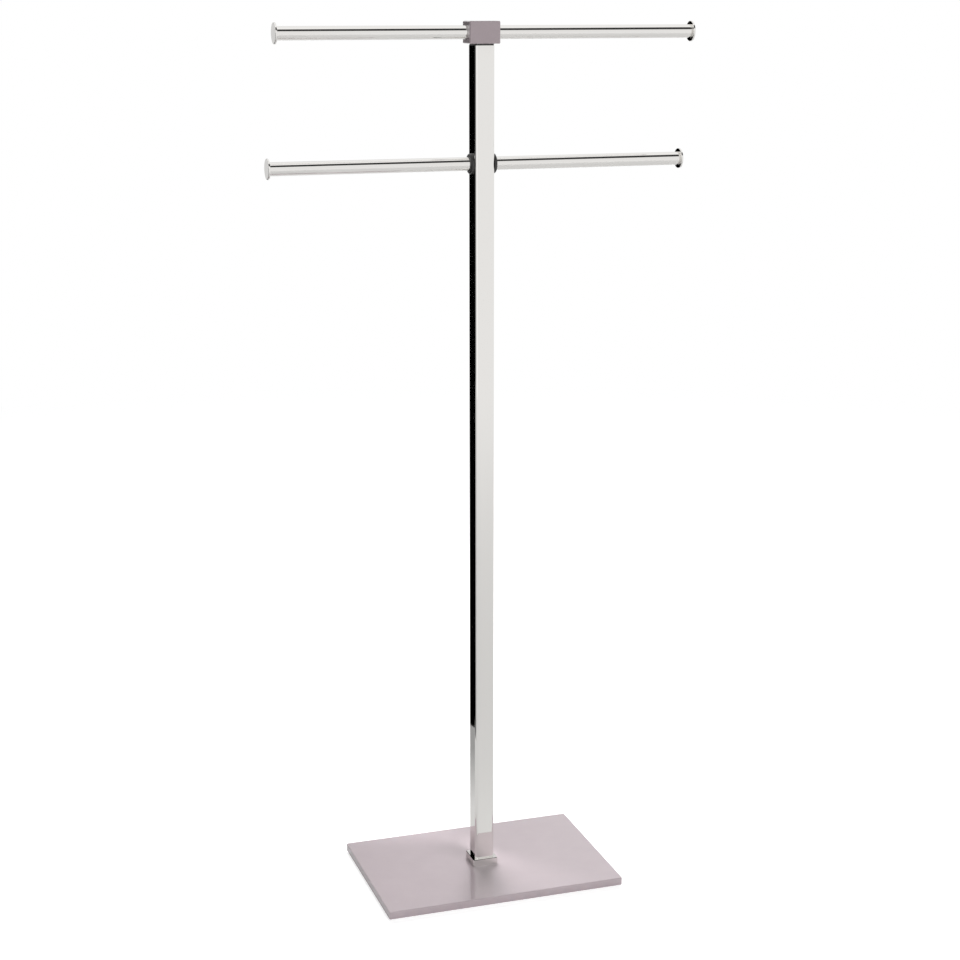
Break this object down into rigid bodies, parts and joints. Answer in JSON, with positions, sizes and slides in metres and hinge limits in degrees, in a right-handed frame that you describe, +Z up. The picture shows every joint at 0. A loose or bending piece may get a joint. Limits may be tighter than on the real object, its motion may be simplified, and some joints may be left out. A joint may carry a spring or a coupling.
{
  "type": "freestanding towel stand",
  "caption": "Freestanding towel stand: a square chromed post on a flat rectangular lacquered foot plate, with round through rails at two heights, the upper one in a head block.",
  "frame": {"origin": "on the floor under the post's axis, at the middle of the foot plate", "axes": "+Z up along the post; +X to the right along the rails and the foot plate's long side; -Y is the front, +Y the back with the locking screws"},
  "size_m": [0.5316, 0.212, 1.0805],
  "materials": {
    "lacquer": "satin-gloss pale lilac-grey lacquer",
    "chrome": "polished",
    "black_plastic": "satin black",
    "rubber": "matt",
    "steel": "zinc-plated, machined",
    "black_steel": "blackened"
  },
  "bodies": {
    "root": {"base_plate": "lacquer", "head_block": "lacquer", "post_collar": "chrome", "post_tube": "chrome", "lower_rail": "chrome", "upper_rail": "chrome", "lower_rail_bush_left": "black_plastic", "lower_rail_bush_right": "black_plastic", "lower_rail_cap_left": "chrome", "lower_rail_cap_right": "chrome", "upper_rail_cap_left": "chrome", "upper_rail_cap_right": "chrome", "post_top_plug": "black_plastic", "foot_pad_front_left": "rubber", "foot_pad_front_right": "rubber", "foot_pad_back_left": "rubber", "foot_pad_back_right": "rubber", "foot_bolt": "black_steel", "foot_bolt_washer": "steel", "foot_dowel": "steel", "foot_plug": "steel", "lower_rail_core": "steel", "head_insert": "steel", "head_stud": "steel", "lower_rail_lock_screw": "black_steel", "upper_rail_lock_screw": "black_steel"}
  },
  "joints": []
}
